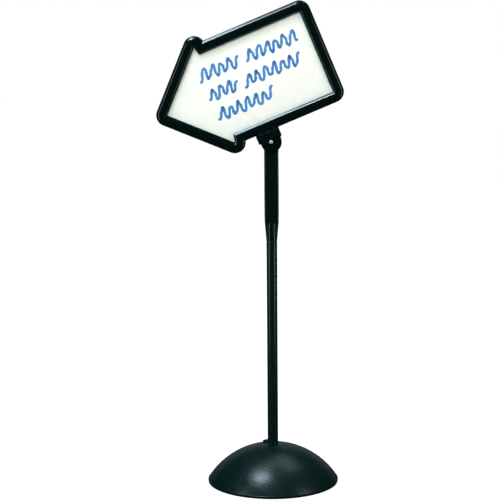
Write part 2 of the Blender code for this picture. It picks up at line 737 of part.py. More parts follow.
def build_mount_bar(tilt, front, rear, slot_top, steel):
    """A steel bar inside the lower rail, which the yoke's two screws pull on."""
    painted = material("bar_steel", (0.25, 0.25, 0.26), 0.5, 1.0)
    rail_bottom = ARROW_AXIS - SHAFT_HALF - RAIL
    low = rail_bottom + RAIL_WALL + GAP
    high = low + BAR_THICKNESS
    corner = Vector((BAR_HALF_LENGTH, BAR_HALF_DEPTH, 0))
    bar = block("mount_bar", Vector((0, 0, low)) - corner, Vector((0, 0, high)) + corner, painted, parent=tilt)
    for i, x in enumerate((-YOKE_SCREW_REACH, YOKE_SCREW_REACH), 1):
        at = dict(parent=tilt, location=(x, 0, 0))
        hole = YOKE_SCREW[2] + GAP
        room = solid_disc(f"yoke_screw_room_{i}", hole, slot_top - 0.02, high + 0.01, sides=16, **at)
        for piece in (bpy.data.objects["tilt_yoke"], front, rear, bar):
            combine(piece, room)
        screw = screw_profile(*YOKE_SCREW, high + 0.004 - slot_top)
        below = dict(parent=tilt, location=(x, 0, slot_top - GAP))
        turned(f"yoke_screw_{i}", screw, steel, 16, closed=False, **below)


def build():
    build_base()
    swivel = empty("swivel_axis", (0, 0, POLE_TOP))
    post = build_swivel(swivel)
    build_pole_head(swivel, post)
    above = (0, 0, PIVOT_HEIGHT - POLE_TOP)
    tilt = empty("tilt_axis", above, (0, -SIGN_TILT, 0), swivel)
    slot_top = build_yoke(tilt, ARROW_AXIS - SHAFT_HALF - RAIL)
    build_board(tilt, slot_top)


for old in list(bpy.data.objects):
    bpy.data.objects.remove(old)
PARTS = new_collection("arrow_sign")
CUTTERS = new_collection("cutters")
build()
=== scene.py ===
"""The looks of the pedestal arrow sign: fine surfaces, procedural materials, studio and camera.

Metres, +Z up, the sign faces -Y. The frame, the yoke, the pivot's hardware and the scribbles are
drawn in the sign's own axes: the origin is on the tilt axis, +X runs along the arrow from tip to
tail, and -Y is the front.
"""

import json
import math

import bmesh
import bpy
from mathutils import Matrix, Vector


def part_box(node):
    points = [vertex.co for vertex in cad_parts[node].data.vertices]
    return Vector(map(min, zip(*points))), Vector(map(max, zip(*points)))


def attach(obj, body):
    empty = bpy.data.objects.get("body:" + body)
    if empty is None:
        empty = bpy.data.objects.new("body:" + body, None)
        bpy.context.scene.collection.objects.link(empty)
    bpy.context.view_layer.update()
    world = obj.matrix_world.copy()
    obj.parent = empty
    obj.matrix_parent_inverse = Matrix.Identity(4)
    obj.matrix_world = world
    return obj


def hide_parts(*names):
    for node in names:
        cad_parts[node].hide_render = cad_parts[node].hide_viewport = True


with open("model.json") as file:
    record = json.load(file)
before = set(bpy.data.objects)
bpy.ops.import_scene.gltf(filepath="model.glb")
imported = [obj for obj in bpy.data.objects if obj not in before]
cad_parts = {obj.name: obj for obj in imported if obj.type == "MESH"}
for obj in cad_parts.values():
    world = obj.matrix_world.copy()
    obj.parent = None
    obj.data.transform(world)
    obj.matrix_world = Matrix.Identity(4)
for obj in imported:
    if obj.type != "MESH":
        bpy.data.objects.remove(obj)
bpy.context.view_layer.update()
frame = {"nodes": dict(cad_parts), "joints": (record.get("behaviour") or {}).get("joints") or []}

GAP = 0.0003  # clearance between neighbouring solids
MERGE = 0.000002  # points nearer than this become one
SLIVER = 0.000001  # edges shorter than this are dropped
CREASE = 35  # degrees between two faces from which their edge stays sharp
THROUGH = 0.05  # how far each way a cutter reaches that goes right through a piece
THROUGH_SHELL = 0.02  # and one that goes through a single wall
JOINTS = {joint["name"]: joint for joint in frame["joints"]}

# The sign's axes at rest
SIGN_TILT = math.radians(22.65)  # the arrow's slope, tip down
PIVOT = Vector(JOINTS["sign_tilt"]["pos_m"])
SIGN = Matrix.Translation(PIVOT) @ Matrix.Rotation(-SIGN_TILT, 4, "Y")
LYING = Matrix.Rotation(math.pi / 2, 4, "X")  # turns a shape along Z to one along -Y
REARWARD = Matrix.Rotation(-math.pi / 2, 4, "X")  # turns a shape along Z to one along +Y

# Arrow: the frame's opening and its rail, in the sign's axes
ARROW_AXIS = 0.2230  # height of the arrow's middle line
TIP = -0.2912
BARB_REACH = 0.176  # from the tip to a barb, both along the arrow and across it
NOTCH = -0.1087  # where the arrowhead meets the shaft
TAIL = 0.2601
SHAFT_HALF = 0.1473
RAIL = 0.0375  # width of the rail round the opening
FRAME_HALF_DEPTH = 0.018
SHEET_FACE = 0.0034  # the board's surface, from the middle plane

# Base
RIM_RADIUS = 0.2286
RIM_TOP = 0.009
DOME_HEIGHT = 0.134
DOME_WALL = 0.003
DOME_RISE = DOME_HEIGHT - RIM_TOP
DOME_BALL = (RIM_RADIUS**2 + DOME_RISE**2) / (2 * DOME_RISE)
DOME_CENTRE = DOME_HEIGHT - DOME_BALL
POLE_RADIUS = 0.0185
SPINDLE_BORE = 0.0125
STOPPER_STEM = 0.0125

FEET = [f"rubber_foot_{i}" for i in range(1, 7)]
PAN_SCREWS = [f"pan_screw_{i}" for i in range(1, 5)]
FRAME_SCREWS = [f"frame_screw_{i}" for i in range(1, 8)]


# ---------------------------------------------------------------- mesh tools


def add_object(name, data, matrix=Matrix()):
    """A new object in the scene."""
    obj = bpy.data.objects.new(name, data)
    bpy.context.scene.collection.objects.link(obj)
    obj.matrix_world = matrix
    return obj


def shade(mesh, crease=CREASE):
    """Smooth, but for the edges that are sharper than the crease in degrees."""
    mesh.shade_smooth()
    mesh.set_sharp_from_angle(angle=math.radians(crease))


def piece(name, mesh, body, finish, matrix=Matrix(), stands_for=(), crease=CREASE):
    """Moves a mesh to its place, gives it a material and sets it on a CAD body."""
    mesh.transform(matrix)
    obj = add_object(name, mesh)
    mesh.materials.append(finish)
    shade(mesh, crease)
    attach(obj, body)
    if stands_for:
        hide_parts(*stands_for)


def to_mesh(name, shape):
    """A mesh with its faces turned outward."""
    bmesh.ops.recalc_face_normals(shape, faces=shape.faces)
    mesh = bpy.data.meshes.new(name)
    shape.to_mesh(mesh)
    shape.free()
    return mesh


def skin(name, rows, wrap_rows=True, wrap_points=True):
    """Quads between rows of points. Open rows get flat caps, and points that meet are merged."""
    shape = bmesh.new()
    made = [[shape.verts.new(point) for point in row] for row in rows]
    count = len(made[0])
    for i in range(len(made) if wrap_rows else len(made) - 1):
        row, following = made[i], made[(i + 1) % len(made)]
        for j in range(count if wrap_points else count - 1):
            k = (j + 1) % count
            shape.faces.new((row[j], row[k], following[k], following[j]))
    if not wrap_rows:
        shape.faces.new(made[0][::-1])
        shape.faces.new(made[-1])
    bmesh.ops.remove_doubles(shape, verts=shape.verts, dist=MERGE)
    return to_mesh(name, shape)


def ramp(low, high, steps):
    """Even steps from one value to another, both ends included."""
    return [low + (high - low) * i / steps for i in range(steps + 1)]


def full_turn(steps):
    """Angles round a circle, in radians."""
    return ramp(0, math.tau, steps)[:-1]


def lathe(name, profile, steps):
    """A closed profile of (radius, height) turned about Z."""
    rows = []
    for angle in full_turn(steps):
        cos, sin = math.cos(angle), math.sin(angle)
        rows.append([(r * cos, r * sin, z) for r, z in profile])
    touches_axis = profile[0][0] == 0 and profile[-1][0] == 0
    return skin(name, rows, wrap_points=not touches_axis)


def arc(centre, radius, start, end, steps):
    """Points on a circle, from one angle to another in degrees, both ends included."""
    found = []
    for degrees in ramp(start, end, steps):
        angle = math.radians(degrees)
        found.append((centre[0] + radius * math.cos(angle), centre[1] + radius * math.sin(angle)))
    return found


def soften(profile, radii, steps=4):
    """Rounds each corner of an open profile with a short curve. The end points stay."""
    share = 0.45  # the most that a curve takes of a side
    found = [profile[0]]
    for before, corner, after, radius in zip(profile, profile[1:], profile[2:], radii):
        corner = Vector(corner)
        back, on = Vector(before) - corner, Vector(after) - corner
        reach = min(radius, back.length * share, on.length * share)
        start = corner + back.normalized() * reach
        end = corner + on.normalized() * reach
        for t in ramp(0, 1, steps):
            found.append(tuple(start * (1 - t) ** 2 + corner * (2 * t * (1 - t)) + end * t**2))
    found.append(profile[-1])
    return found


def slab(name, outline, near, far):
    """A flat outline of (x, z) points between two depths along Y."""
    rows = [[(x, depth, z) for x, z in outline] for depth in (near, far)]
    return skin(name, rows, wrap_rows=False)


def rod(name, radius, low, high, sides=64):
    """A cylinder along Z."""
    rows = [[(x, y, z) for x, y in arc((0, 0), radius, 0, 360, sides)[:-1]] for z in (low, high)]
    return skin(name, rows, wrap_rows=False)


def box_mesh(name, low, high):
    """A box between its lowest and highest corners."""
    outline = [(low[0], low[2]), (high[0], low[2]), (high[0], high[2]), (low[0], high[2])]
    return slab(name, outline, low[1], high[1])


def boolean(obj, tool, operation="DIFFERENCE", matrix=None):
    """Applies one Boolean with a mesh, placed like the object unless a matrix is given."""
    other = add_object("tool", tool, obj.matrix_world if matrix is None else matrix)
    modifier = obj.modifiers.new("boolean", "BOOLEAN")
    modifier.operation = operation
    modifier.object = other
    apply_modifiers(obj)
    bpy.data.objects.remove(other)


def apply_modifiers(obj):
    """Swaps an object's mesh for the one that its modifiers make."""
    bpy.context.view_layer.update()
    evaluated = obj.evaluated_get(bpy.context.evaluated_depsgraph_get())
    mesh = bpy.data.meshes.new_from_object(evaluated)
    obj.modifiers.clear()
    old = obj.data
    obj.data = mesh
    bpy.data.meshes.remove(old)
    shade(mesh)


def bevel(obj, width, segments=3, angle=40):
    """Rounds every edge whose faces meet at more than the angle in degrees."""
    modifier = obj.modifiers.new("bevel", "BEVEL")
    modifier.width = width
    modifier.segments = segments
    modifier.limit_method = "ANGLE"
    modifier.angle_limit = math.radians(angle)
    apply_modifiers(obj)


def merge_flat(mesh):
    """Joins faces that lie in one plane, so that a cut across them leaves no slivers."""
    limit = math.radians(0.05)  # between the planes of two faces
    shape = bmesh.new()
    shape.from_mesh(mesh)
    bmesh.ops.dissolve_limit(shape, angle_limit=limit, verts=shape.verts, edges=shape.edges)
    return to_mesh(mesh.name, shape)


def take_mesh(obj):
    """Removes an object and hands over its mesh, without the slivers that Booleans leave."""
    mesh = obj.data
    bpy.data.objects.remove(obj)
    shape = bmesh.new()
    shape.from_mesh(mesh)
    bmesh.ops.triangulate(shape, faces=[face for face in shape.faces if len(face.verts) > 4])
    bmesh.ops.dissolve_degenerate(shape, dist=SLIVER, edges=shape.edges)
    shape.to_mesh(mesh)
    shape.free()
    return mesh


def node_middle(name):
    """The middle of a CAD node's box."""
    low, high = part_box(name)
    return (low + high) / 2


# ---------------------------------------------------------------- materials


def map_range(tree, value, start, end, low, high):
    """Maps a node's values between start and end to low and high."""
    node = tree.nodes.new("ShaderNodeMapRange")
    node.inputs["From Min"].default_value = start
    node.inputs["From Max"].default_value = end
    node.inputs["To Min"].default_value = low
    node.inputs["To Max"].default_value = high
    tree.links.new(value, node.inputs["Value"])
    return node.outputs["Result"]


class Finish:
    """A material under construction: a Principled BSDF and short calls for what feeds it. A
    colour or a roughness that isn't given here varies, and is fed by one of those calls."""

    def __init__(self, name, colour=None, roughness=None, metallic=0.0, specular=0.5):
        self.material = bpy.data.materials.new(name)
        self.material.use_nodes = True
        self.tree = self.material.node_tree
        self.nodes = self.tree.nodes
        self.links = self.tree.links
        self.shader = self.nodes["Principled BSDF"]
        self.place = self.nodes.new("ShaderNodeTexCoord").outputs["Object"]
        if colour is not None:
            self.set("Base Color", (*colour, 1))
        if roughness is not None:
            self.set("Roughness", roughness)
        self.set("Metallic", metallic)
        self.set("Specular IOR Level", specular)
        self.normal = None

    def set(self, socket, value):
        """Gives one of the shader's sockets a plain value."""
        self.shader.inputs[socket].default_value = value

    def feed(self, socket, output):
        """Links a node's output to one of the shader's sockets."""
        self.links.new(output, self.shader.inputs[socket])

    def noise(self, scale, detail, roughness=0.5, stretch=(1, 1, 1)):
        """Cloudy values in the object's own coordinates, squeezed along each axis by stretch."""
        mapping = self.nodes.new("ShaderNodeMapping")
        mapping.inputs["Scale"].default_value = stretch
        self.links.new(self.place, mapping.inputs["Vector"])
        texture = self.nodes.new("ShaderNodeTexNoise")
        texture.inputs["Scale"].default_value = scale
        texture.inputs["Detail"].default_value = detail
        texture.inputs["Roughness"].default_value = roughness
        self.links.new(mapping.outputs["Vector"], texture.inputs["Vector"])
        return texture.outputs["Fac"]

    def cells(self, scale):
        """A pebbled pattern: the distance to the middle of the nearest cell."""
        texture = self.nodes.new("ShaderNodeTexVoronoi")
        texture.inputs["Scale"].default_value = scale
        self.links.new(self.place, texture.inputs["Vector"])
        return texture.outputs["Distance"]

    def spread(self, output, low, high, start=0.35, end=0.65):
        """Maps the middle of a texture's values, or another part of them, to low and high."""
        return map_range(self.tree, output, start, end, low, high)

    def blend(self, factor, first, second):
        """A mix of two colours, each a plain one or a node's output."""
        node = self.nodes.new("ShaderNodeMix")
        node.data_type = "RGBA"
        for name, colour in (("A", first), ("B", second)):
            if isinstance(colour, bpy.types.NodeSocket):
                self.links.new(colour, node.inputs[name])
            else:
                node.inputs[name].default_value = (*colour, 1)
        self.links.new(factor, node.inputs["Factor"])
        return node.outputs["Result"]

    def vary_colour(self, factor, first, second):
        self.feed("Base Color", self.blend(factor, first, second))

    def vary_roughness(self, scale, low, high):
        self.feed("Roughness", self.spread(self.noise(scale, 3), low, high))

    def bump(self, height, distance, strength):
        """Adds relief of this depth on top of any that is there."""
        node = self.nodes.new("ShaderNodeBump")
        node.inputs["Distance"].default_value = distance
        node.inputs["Strength"].default_value = strength
        self.links.new(height, node.inputs["Height"])
        if self.normal is not None:
            self.links.new(self.normal, node.inputs["Normal"])
        self.normal = node.outputs["Normal"]
        self.feed("Normal", self.normal)

    def worn_edges(self, base, worn, radius):
        """Lightens the colour where a bevelled normal differs from the true one."""
        rounded = self.nodes.new("ShaderNodeBevel")
        rounded.samples = 4
        rounded.inputs["Radius"].default_value = radius
        geometry = self.nodes.new("ShaderNodeNewGeometry")
        dot = self.nodes.new("ShaderNodeVectorMath")
        dot.operation = "DOT_PRODUCT"
        self.links.new(rounded.outputs["Normal"], dot.inputs[0])
        self.links.new(geometry.outputs["Normal"], dot.inputs[1])
        factor = self.spread(dot.outputs["Value"], 0.6, 0.0, start=0.9, end=1.0)
        self.vary_colour(factor, base, worn)


def gloss_frame():
    """Moulded black plastic with a slight orange peel and hazy patches."""
    made = Finish("gloss_black_plastic", (0.0004, 0.0036, 0.0033), specular=0.6)
    made.vary_roughness(18, 0.14, 0.21)
    made.bump(made.noise(130, 2), 0.00010, 0.30)
    return made.material


def textured_base():
    """Fine-grained moulding with soft highlights, dark with a green cast."""
    made = Finish("textured_plastic")
    made.vary_colour(made.noise(9, 4), (0.0007, 0.0092, 0.0085), (0.0018, 0.0130, 0.0122))
    made.vary_roughness(30, 0.265, 0.325)
    made.bump(made.noise(420, 3, 0.6), 0.0004, 0.25)
    made.bump(made.cells(900), 0.0002, 0.15)
    made.set("Coat Weight", 0.12)
    made.set("Coat Roughness", 0.5)
    return made.material


def pole_paint():
    """Powder coat, a little rougher in places."""
    made = Finish("painted_steel", (0.0012, 0.0105, 0.0108))
    made.vary_roughness(24, 0.17, 0.24)
    made.bump(made.noise(500, 2), 0.0001, 0.25)
    return made.material


def head_plastic():
    """Matt moulding with a fine grain."""
    made = Finish("moulded_plastic", (0.0004, 0.0068, 0.0068), specular=0.45)
    made.vary_roughness(22, 0.20, 0.28)
    made.bump(made.noise(650, 3, 0.6), 0.0002, 0.3)
    return made.material


def yoke_plastic():
    """A darker moulding than the pole head's, with a smoother grain."""
    made = Finish("yoke_plastic", (0.0004, 0.0040, 0.0040), specular=0.4)
    made.vary_roughness(26, 0.22, 0.31)
    made.bump(made.noise(600, 2), 0.0002, 0.3)
    return made.material


def board_enamel():
    """White enamelled steel, faintly hazed by wiped ink, with painted shade: cooler and darker
    where the rails stand over it.
    """
    made = Finish("white_enamel", specular=0.4)
    smears = made.noise(7, 4, 0.6, stretch=(0.35, 1, 2.2))
    wiped = made.spread(smears, 0.0, 1.0, start=0.5, end=0.8)
    clean = made.blend(wiped, (0.87, 0.87, 0.79), (0.86, 0.86, 0.785))
    # Painted shade: an occlusion mask blends the colour to a cool grey-green near the rails.
    shade_occlusion = made.nodes.new("ShaderNodeAmbientOcclusion")
    shade_occlusion.samples = 8
    shade_occlusion.inputs["Distance"].default_value = 0.07
    unshaded = made.spread(shade_occlusion.outputs["AO"], 0.0, 1.0, start=0.72, end=1.0)
    made.vary_colour(unshaded, (0.64, 0.73, 0.68), clean)
    made.vary_roughness(12, 0.2, 0.32)
    made.bump(made.noise(60, 1), 0.0001, 0.12)
    return made.material


def marker_ink():
    """Blue ink whose density varies along and across the stroke."""
    made = Finish("marker_ink", roughness=0.4)
    density = made.spread(made.noise(60, 3, 0.6), 0.0, 1.0)
    made.vary_colour(density, (0.050, 0.215, 0.50), (0.080, 0.27, 0.58))
    made.bump(made.noise(900, 2), 0.00008, 0.3)
    return made.material


def rubber():
    """Black rubber with dusty patches and a coarse skin."""
    made = Finish("rubber", roughness=0.75, specular=0.3)
    made.vary_colour(made.noise(60, 4), (0.005, 0.0055, 0.0055), (0.018, 0.018, 0.017))
    made.bump(made.noise(700, 3, 0.7), 0.0005, 0.5)
    return made.material


def brushed(name, colour, roughness, stretch=(1, 1, 30)):
    """Plated steel with fine turning or drawing marks across the stretch axis, and worn edges."""
    made = Finish(name, metallic=0.55)
    lighter = tuple(min(1.0, c * 1.35) for c in colour)
    made.worn_edges(colour, lighter, 0.0006)
    made.vary_roughness(140, roughness * 0.8, roughness * 1.3)
    made.bump(made.noise(900, 2, stretch=stretch), 0.00012, 0.4)
    return made.material


def nylon(name, colour):
    """Slightly translucent plastic with a dull skin."""
    made = Finish(name, colour, specular=0.4)
    made.set("Subsurface Weight", 0.1)
    made.set("Subsurface Radius", (0.002, 0.002, 0.002))
    made.vary_roughness(120, 0.42, 0.58)
    made.bump(made.noise(500, 2), 0.0002, 0.3)
    return made.material


def fibreboard():
    """Pressed fibres, pale and dark."""
    made = Finish("fibreboard", roughness=0.9, specular=0.2)
    made.vary_colour(made.noise(300, 5, 0.7), (0.36, 0.28, 0.2), (0.62, 0.54, 0.42))
    made.bump(made.noise(500, 4, 0.7), 0.0005, 0.6)
    return made.material


def sand():
    """Coarse grains of uneven colour."""
    made = Finish("sand", roughness=0.95, specular=0.2)
    made.vary_colour(made.cells(900), (0.3, 0.23, 0.15), (0.62, 0.54, 0.4))
    made.bump(made.cells(700), 0.0008, 0.8)
    return made.material


# ---------------------------------------------------------------- base


def dome_surface(radius, inset=0.0):
    """The height of the dome's skin, or of the skin inside it, at a radius."""
    return DOME_CENTRE + math.sqrt((DOME_BALL - inset) ** 2 - radius**2)


def dome_profile(well):
    """Outer skin, rolled rim, inner skin and the well, as one closed section."""
    roll, mouth_round, well_wall, well_height = 0.0016, 0.002, 0.0025, 0.0175
    mouth_edge, well_outside = well + mouth_round, well + well_wall
    outer_edge, inner_edge = RIM_RADIUS - 0.0012, RIM_RADIUS - 0.0060
    outer = []
    for angle in ramp(0, math.pi / 2, 56):
        radius = mouth_edge + (outer_edge - mouth_edge) * math.sin(angle)
        outer.append((radius, dome_surface(radius)))
    lip = arc((RIM_RADIUS - roll, RIM_TOP + 0.0004), roll, 40, -20, 4)
    wall = [(RIM_RADIUS - 0.0003, RIM_TOP - 0.0014), (RIM_RADIUS - 0.0006, 0.0035)]
    foot = arc((RIM_RADIUS - 0.0022, 0.0031), roll, 0, -90, 4)
    foot += [(RIM_RADIUS - 0.0050, 0.0015), (RIM_RADIUS - 0.0055, 0.0030)]
    inner = [(inner_edge, RIM_TOP)]
    for angle in ramp(0, math.pi / 2, 24)[1:]:
        radius = inner_edge + (well_outside - inner_edge) * (1 - math.cos(angle))
        inner.append((radius, dome_surface(radius, DOME_WALL)))
    well_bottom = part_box("base_dome")[0].z + well_height
    bottom = [(well_outside, well_bottom), (well, well_bottom)]
    mouth_centre = (mouth_edge, dome_surface(mouth_edge) - mouth_round)
    mouth = arc(mouth_centre, mouth_round, 180, 97, 4)
    return outer + lip + wall + foot + inner + bottom + mouth


def build_dome(finish):
    """The dome, with its well for the pole and the filling hole."""
    obj = add_object("dome", lathe("base_shell", dome_profile(POLE_RADIUS + GAP), 192))
    hole = rod("hole", STOPPER_STEM + GAP, -THROUGH_SHELL, THROUGH_SHELL)
    boolean(obj, hole, matrix=plug_matrix())
    mesh = take_mesh(obj)
    piece("base_shell", mesh, "base", finish, stands_for=["base_dome"])


def plug_matrix():
    """The fill plug's place: on the dome, with +Z straight out of it."""
    joint = JOINTS["plug_lift"]
    turn = Vector(joint["axis"]).to_track_quat("Z", "Y").to_matrix().to_4x4()
    return Matrix.Translation(joint["pos_m"]) @ turn


def build_plug(finish):
    """A stepped rubber stopper with a finger bar across its dished top."""
    top, flange, stem, end = 0.0065, 0.020, STOPPER_STEM, -0.012
    dish, dish_radius, rim_round, groove = top - 0.0022, 0.0128, 0.0018, stem - 0.0006
    profile = [(0, dish), (dish_radius, dish), (0.0142, top)]
    profile += arc((flange - rim_round, top - rim_round), rim_round, 90, 0, 5)
    profile += [(flange, 0.0006), (flange - 0.0006, GAP), (stem, GAP), (stem, -0.0035)]
    profile += [(groove, -0.0045), (groove, -0.0060), (stem, -0.0070), (stem * 0.9, end), (0, end)]
    obj = add_object("plug", lathe("plug", profile, 96))
    bar_half_length, bar_half_width = 0.0125, 0.0022
    low = (-bar_half_length, -bar_half_width, top - 0.004)
    high = (bar_half_length, bar_half_width, top - 0.0002)
    bar = add_object("bar", box_mesh("bar", low, high))
    bevel(bar, 0.0012)
    boolean(obj, take_mesh(bar), "UNION")
    piece("fill_stopper", take_mesh(obj), "plug", finish, plug_matrix(), ["fill_plug"])


def build_pan(finish):
    """The underside: a flat pan with a turned-down edge and moulded rings."""
    low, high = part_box("base_pan")
    bottom, top, radius, bore = low.z, high.z, high.x, 0.0054
    ring_half, floor_half, ring_top = 0.0035, 0.0022, bottom + 0.0012
    profile = [(bore, top), (radius - 0.001, top), (radius, top - 0.001)]
    profile += [(radius, bottom + 0.0006), (radius - 0.0006, bottom), (0.172, bottom)]
    for middle in (0.168, 0.120, 0.075):
        profile += [(middle + ring_half, bottom), (middle + floor_half, ring_top)]
        profile += [(middle - floor_half, ring_top), (middle - ring_half, bottom)]
    profile.append((bore, bottom))
    obj = add_object("pan", lathe("pan", profile, 144))
    for screw in PAN_SCREWS:
        hole = rod("hole", 0.0024, -THROUGH_SHELL, THROUGH_SHELL, 24)
        boolean(obj, hole, matrix=Matrix.Translation(node_middle(screw)))
    mesh = take_mesh(obj)
    piece("base_underside", mesh, "base", finish, stands_for=["base_pan"])


def build_feet(finish):
    """Chamfered feet with a ring-shaped groove in the sole."""
    for i, node in enumerate(FEET, 1):
        low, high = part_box(node)
        middle = node_middle(node)
        radius, top, edge = (high.x - low.x) / 2, high.z, 0.0008
        side = [(radius, top - edge), (radius * 0.9, 0), (radius * 0.62, 0)]
        profile = [(0, top), (radius - edge, top)] + soften(side, [0.0015])
        profile += [(radius * 0.58, edge), (radius * 0.46, edge), (radius * 0.42, 0), (0, 0)]
        place = Matrix.Translation((middle.x, middle.y, 0))
        piece(f"foot_{i}", lathe("foot", profile, 64), "base", finish, place, [node])


def build_pole(paint, bush):
    """The tube, and the flanged bush that the head turns in."""
    low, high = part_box("pole_tube")
    inner, edge = POLE_RADIUS - 0.0015, 0.0003
    profile = [(POLE_RADIUS - edge, high.z), (POLE_RADIUS, high.z - edge), (POLE_RADIUS, low.z)]
    profile += [(inner, low.z), (inner, high.z)]
    mesh = lathe("pole", profile, 96)
    piece("pole", mesh, "base", paint, stands_for=["pole_tube"])

    low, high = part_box("swivel_bush")
    seat, flange, sleeve = high.z - 0.002, POLE_RADIUS - 0.0009, inner - GAP
    profile = [(flange - 0.0004, high.z), (flange, high.z - 0.0004), (flange, seat + 0.0003)]
    profile += [(flange - 0.0003, seat), (sleeve, seat), (sleeve, low.z)]
    profile += [(SPINDLE_BORE, low.z), (SPINDLE_BORE, high.z)]
    mesh = lathe("bush", profile, 96)
    piece("bush", mesh, "base", bush, stands_for=["swivel_bush"])


# ---------------------------------------------------------------- pole head

HEAD_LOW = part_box("pole_head")[0].z
NECK_TOP = 0.924
HEAD_HALF_DEPTH = 0.0175
SHOULDER_RADIUS = 0.0385
TONGUE_RADIUS = 0.0295
TONGUE_HALF = 0.0064
NECK_RADIUS = 0.0178
FIN_HALF_DEPTH = 0.0095
BOLT_HOLE = 0.0043
# How square the sections are: powers of their superellipses
BAR_POWER = 7
FIN_POWER = 9
NECK_POWER = 26  # of the corner where a fin meets the round neck
# Half-widths up the head, as (height, half-width)
HEAD_SIDES = [
    (HEAD_LOW, 0.0188),
    (HEAD_LOW + 0.010, 0.0194),
    (HEAD_LOW + 0.030, 0.0209),
    (HEAD_LOW + 0.050, 0.0228),
    (NECK_TOP, 0.0241),
    (NECK_TOP + 0.030, 0.0247),
    (PIVOT.z - 0.15, 0.0248),
    (PIVOT.z, 0.0245),
]


def ease(value, low, high):
    """Rises smoothly from 0 to 1 between two values."""
    t = min(1.0, max(0.0, (value - low) / (high - low)))
    return t * t * (3 - 2 * t)


def head_half_width(z):
    """Runs between the heights of HEAD_SIDES, half straight and half eased."""
    for (low, first), (high, second) in zip(HEAD_SIDES, HEAD_SIDES[1:]):
        if z <= high:
            straight = (z - low) / (high - low)
            return first + (second - first) * (ease(z, low, high) + straight) / 2
    return HEAD_SIDES[-1][1]


def superellipse(angle, wide, deep, power):
    """The distance from the middle to a rounded rectangle's edge at an angle."""
    cos, sin = abs(math.cos(angle)), abs(math.sin(angle))
    return ((cos / wide) ** power + (sin / deep) ** power) ** (-1 / power)


def head_section(z):
    """Round with side fins in the neck, and a flat-faced bar above it."""
    half = head_half_width(z)
    flat = ease(z, NECK_TOP - 0.004, NECK_TOP + 0.010)
    row = []
    for angle in full_turn(180):
        bar = superellipse(angle, half, HEAD_HALF_DEPTH, BAR_POWER)
        fin = superellipse(angle, half, FIN_HALF_DEPTH, FIN_POWER)
        neck = (NECK_RADIUS**NECK_POWER + fin**NECK_POWER) ** (1 / NECK_POWER)
        reach = neck + (bar - neck) * flat
        row.append((reach * math.cos(angle), reach * math.sin(angle), z))
    return row


def build_head(finish):
    """The casting: neck, bar, round shoulders and the tongue that the yoke straddles."""
    heights = [HEAD_LOW, HEAD_LOW + 0.0004]
    heights += ramp(HEAD_LOW + 0.0012, NECK_TOP - 0.0048, 24)
    heights += ramp(NECK_TOP - 0.004, NECK_TOP + 0.012, 12)
    heights += ramp(NECK_TOP + 0.016, PIVOT.z - 0.020, 30)
    rows = [head_section(z) for z in heights]
    inset = 0.975  # chamfers the lower edge
    rows[0] = [(x * inset, y * inset, z) for x, y, z in rows[0]]
    obj = add_object("head", merge_flat(skin("head", rows, wrap_rows=False)))
    lying = Matrix.Translation(PIVOT) @ LYING
    boolean(obj, rod("room", SHOULDER_RADIUS, -THROUGH, THROUGH, 160), matrix=lying)
    bevel(obj, 0.0013, 3, 55)

    side, bottom = 0.0240, -0.052
    start = math.degrees(math.acos(side / TONGUE_RADIUS))
    outline = [(-side, bottom), (side, bottom)]
    outline += arc((0, 0), TONGUE_RADIUS, start, 180 - start, 48)
    tongue = add_object("tongue", slab("tongue", outline, -TONGUE_HALF, TONGUE_HALF))
    bevel(tongue, 0.0006, 2)
    boolean(obj, take_mesh(tongue), "UNION", Matrix.Translation(PIVOT))
    boolean(obj, rod("hole", BOLT_HOLE, -THROUGH, THROUGH, 48), matrix=lying)
    bore_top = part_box("swivel_spindle")[1].z + GAP
    boolean(obj, rod("bore", SPINDLE_BORE, HEAD_LOW - 0.01, bore_top))
    pin = Matrix.Translation(node_middle("spindle_pin")) @ Matrix.Rotation(math.pi / 2, 4, "Y")
    boolean(obj, rod("pin_hole", 0.0028, -THROUGH, THROUGH, 32), matrix=pin)
    mesh = take_mesh(obj)
    piece("head_casting", mesh, "head", finish, stands_for=["pole_head"])


# ---------------------------------------------------------------- tilt joint

DISC_RADIUS = 0.0360
YOKE_HALF_WIDTH = 0.0417
YOKE_HALF_DEPTH = 0.0162
YOKE_TAB_BOTTOM = 0.006
RAIL_BOTTOM = ARROW_AXIS - SHAFT_HALF - RAIL
COUNTERBORE_SEAT = 0.0132
COUNTERBORE_RADIUS = 0.0105
MOUNT_SCREW_X = 0.036  # each way from the middle of the yoke
MOUNT_HOLE = 0.0028


def cut_mount_holes(obj, z, low, high, sides):
    """Two upright holes for the screws that hold the yoke to the frame."""
    for x in (-MOUNT_SCREW_X, MOUNT_SCREW_X):
        place = SIGN @ Matrix.Translation((x, 0, z))
        boolean(obj, rod("hole", MOUNT_HOLE, low, high, sides), matrix=place)


def domed_head(radius, seat, edge, height, steps):
    """The profile of a low domed head, from its middle out to its edge."""
    dome = []
    for angle in ramp(0, math.pi / 2, steps):
        rise = edge + (height - edge) * math.cos(angle)
        dome.append((radius * math.sin(angle), seat + rise))
    dome[0] = (0, seat + height)
    return dome


